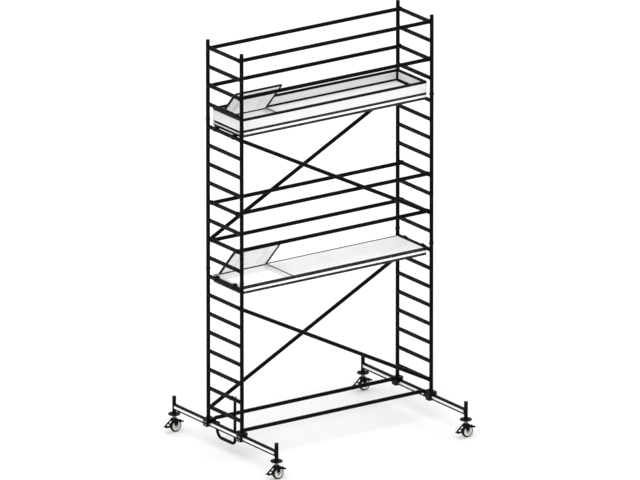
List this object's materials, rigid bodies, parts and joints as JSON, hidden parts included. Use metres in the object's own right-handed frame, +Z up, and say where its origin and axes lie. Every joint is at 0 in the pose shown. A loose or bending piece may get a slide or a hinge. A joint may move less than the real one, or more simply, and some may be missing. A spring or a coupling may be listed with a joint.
{
  "type": "rolling scaffold tower",
  "caption": "Rolling access tower of ladder frames with hatch decks, guard rails, toe boards and braces, standing on outrigger beams with braked levelling castors.",
  "frame": {"origin": "on the floor, at the middle of the tower", "axes": "+X along the decks towards the end away from the hatches, +Y across the tower towards the hatch hinges, +Z up"},
  "size_m": [3.214, 2.465, 5.4556],
  "materials": {
    "frame_coat": "satin black powder coat on steel tube",
    "rail_coat": "satin black powder coat on steel tube",
    "beam_coat": "satin black powder coat on rectangular steel tube",
    "casting": "black coated casting",
    "zinc_steel": "black zinc plated steel",
    "castor_coat": "black coated pressed steel",
    "tyre_rubber": "matt black rubber",
    "wheel_plastic": "dark grey moulded nylon",
    "cap_plastic": "black moulded plastic",
    "deck_coat": "satin black powder coat",
    "deck_ply": "pale grey film-faced plywood",
    "toe_board_ply": "pale grey film-faced plywood"
  },
  "bodies": {
    "tower": {"access_stirrup": "rail_coat", "base_struts": "rail_coat", "beam_saddles": "casting", "brace_lower_back": "rail_coat", "brace_lower_front": "rail_coat", "brace_upper_back": "rail_coat", "brace_upper_front": "rail_coat", "deck_frame_lower": "deck_coat", "deck_frame_upper": "deck_coat", "deck_hooks": "casting", "deck_panel_lower": "deck_ply", "deck_panel_upper": "deck_ply", "frame_base_left": "frame_coat", "frame_base_right": "frame_coat", "frame_middle_left": "frame_coat", "frame_middle_right": "frame_coat", "frame_spigots": "zinc_steel", "frame_top_left": "frame_coat", "frame_top_right": "frame_coat", "guard_rails_lower_back": "rail_coat", "guard_rails_lower_front": "rail_coat", "guard_rails_upper_back": "rail_coat", "guard_rails_upper_front": "rail_coat", "hatch_hinges": "zinc_steel", "interlock_clips": "zinc_steel", "mobile_beam_left": "beam_coat", "mobile_beam_right": "beam_coat", "sleeve_caps": "cap_plastic", "toe_boards_end": "toe_board_ply", "toe_boards_long": "toe_board_ply"},
    "spindle_front_left": {"castor_spindle_front_left": "zinc_steel"},
    "nut_front_left": {"castor_nut_front_left": "castor_coat"},
    "fork_front_left": {"castor_fork_front_left": "castor_coat"},
    "wheel_front_left": {"castor_tyre_front_left": "tyre_rubber", "castor_wheel_front_left": "wheel_plastic"},
    "pedal_front_left": {"brake_pedal_front_left": "castor_coat"},
    "spindle_back_left": {"castor_spindle_back_left": "zinc_steel"},
    "nut_back_left": {"castor_nut_back_left": "castor_coat"},
    "fork_back_left": {"castor_fork_back_left": "castor_coat"},
    "wheel_back_left": {"castor_tyre_back_left": "tyre_rubber", "castor_wheel_back_left": "wheel_plastic"},
    "pedal_back_left": {"brake_pedal_back_left": "castor_coat"},
    "spindle_front_right": {"castor_spindle_front_right": "zinc_steel"},
    "nut_front_right": {"castor_nut_front_right": "castor_coat"},
    "fork_front_right": {"castor_fork_front_right": "castor_coat"},
    "wheel_front_right": {"castor_tyre_front_right": "tyre_rubber", "castor_wheel_front_right": "wheel_plastic"},
    "pedal_front_right": {"brake_pedal_front_right": "castor_coat"},
    "spindle_back_right": {"castor_spindle_back_right": "zinc_steel"},
    "nut_back_right": {"castor_nut_back_right": "castor_coat"},
    "fork_back_right": {"castor_fork_back_right": "castor_coat"},
    "wheel_back_right": {"castor_tyre_back_right": "tyre_rubber", "castor_wheel_back_right": "wheel_plastic"},
    "pedal_back_right": {"brake_pedal_back_right": "castor_coat"},
    "lid_lower": {"hatch_fittings_lower": "zinc_steel", "hatch_lid_lower": "deck_ply"},
    "lid_upper": {"hatch_fittings_upper": "zinc_steel", "hatch_lid_upper": "deck_ply"}
  },
  "joints": [
    {"name": "levelling_front_left", "type": "slide", "parent": "tower", "child": "spindle_front_left", "axis": [0, 0, -1], "range_m": [0, 0.15]},
    {"name": "nut_turn_front_left", "type": "hinge", "parent": "tower", "child": "nut_front_left", "pos_m": [-1.47, -1.1525, 0.2403], "axis": [0, 0, 1], "range_deg": [0, 6760]},
    {"name": "swivel_front_left", "type": "hinge", "parent": "spindle_front_left", "child": "fork_front_left", "pos_m": [-1.47, -1.1525, 0.18], "axis": [0, 0, 1], "continuous": true},
    {"name": "wheel_spin_front_left", "type": "hinge", "parent": "fork_front_left", "child": "wheel_front_left", "pos_m": [-1.45, -1.1525, 0.08], "axis": [0, 1, 0], "continuous": true},
    {"name": "brake_front_left", "type": "hinge", "parent": "fork_front_left", "child": "pedal_front_left", "pos_m": [-1.495, -1.1525, 0.16], "axis": [0, 1, 0], "range_deg": [0, 10]},
    {"name": "levelling_back_left", "type": "slide", "parent": "tower", "child": "spindle_back_left", "axis": [0, 0, -1], "range_m": [0, 0.15]},
    {"name": "nut_turn_back_left", "type": "hinge", "parent": "tower", "child": "nut_back_left", "pos_m": [-1.47, 1.1525, 0.2403], "axis": [0, 0, 1], "range_deg": [0, 6760]},
    {"name": "swivel_back_left", "type": "hinge", "parent": "spindle_back_left", "child": "fork_back_left", "pos_m": [-1.47, 1.1525, 0.18], "axis": [0, 0, 1], "continuous": true},
    {"name": "wheel_spin_back_left", "type": "hinge", "parent": "fork_back_left", "child": "wheel_back_left", "pos_m": [-1.45, 1.1525, 0.08], "axis": [0, 1, 0], "continuous": true},
    {"name": "brake_back_left", "type": "hinge", "parent": "fork_back_left", "child": "pedal_back_left", "pos_m": [-1.495, 1.1525, 0.16], "axis": [0, 1, 0], "range_deg": [0, 10]},
    {"name": "levelling_front_right", "type": "slide", "parent": "tower", "child": "spindle_front_right", "axis": [0, 0, -1], "range_m": [0, 0.15]},
    {"name": "nut_turn_front_right", "type": "hinge", "parent": "tower", "child": "nut_front_right", "pos_m": [1.47, -1.1525, 0.2403], "axis": [0, 0, 1], "range_deg": [0, 6760]},
    {"name": "swivel_front_right", "type": "hinge", "parent": "spindle_front_right", "child": "fork_front_right", "pos_m": [1.47, -1.1525, 0.18], "axis": [0, 0, 1], "continuous": true},
    {"name": "wheel_spin_front_right", "type": "hinge", "parent": "fork_front_right", "child": "wheel_front_right", "pos_m": [1.49, -1.1525, 0.08], "axis": [0, 1, 0], "continuous": true},
    {"name": "brake_front_right", "type": "hinge", "parent": "fork_front_right", "child": "pedal_front_right", "pos_m": [1.445, -1.1525, 0.16], "axis": [0, 1, 0], "range_deg": [0, 10]},
    {"name": "levelling_back_right", "type": "slide", "parent": "tower", "child": "spindle_back_right", "axis": [0, 0, -1], "range_m": [0, 0.15]},
    {"name": "nut_turn_back_right", "type": "hinge", "parent": "tower", "child": "nut_back_right", "pos_m": [1.47, 1.1525, 0.2403], "axis": [0, 0, 1], "range_deg": [0, 6760]},
    {"name": "swivel_back_right", "type": "hinge", "parent": "spindle_back_right", "child": "fork_back_right", "pos_m": [1.47, 1.1525, 0.18], "axis": [0, 0, 1], "continuous": true},
    {"name": "wheel_spin_back_right", "type": "hinge", "parent": "fork_back_right", "child": "wheel_back_right", "pos_m": [1.49, 1.1525, 0.08], "axis": [0, 1, 0], "continuous": true},
    {"name": "brake_back_right", "type": "hinge", "parent": "fork_back_right", "child": "pedal_back_right", "pos_m": [1.445, 1.1525, 0.16], "axis": [0, 1, 0], "range_deg": [0, 10]},
    {"name": "hatch_lower", "type": "hinge", "parent": "tower", "child": "lid_lower", "pos_m": [-1.015, 0.29, 2.3346], "axis": [-1, 0, 0], "range_deg": [-48, 37]},
    {"name": "hatch_upper", "type": "hinge", "parent": "tower", "child": "lid_upper", "pos_m": [-1.015, 0.29, 4.4206], "axis": [-1, 0, 0], "range_deg": [-48, 37]}
  ],
  "couplings": [
    {"joint": "nut_turn_front_left", "follows": "levelling_front_left", "rad_per_m": 785.4},
    {"joint": "nut_turn_back_left", "follows": "levelling_back_left", "rad_per_m": 785.4},
    {"joint": "nut_turn_front_right", "follows": "levelling_front_right", "rad_per_m": 785.4},
    {"joint": "nut_turn_back_right", "follows": "levelling_back_right", "rad_per_m": 785.4}
  ]
}
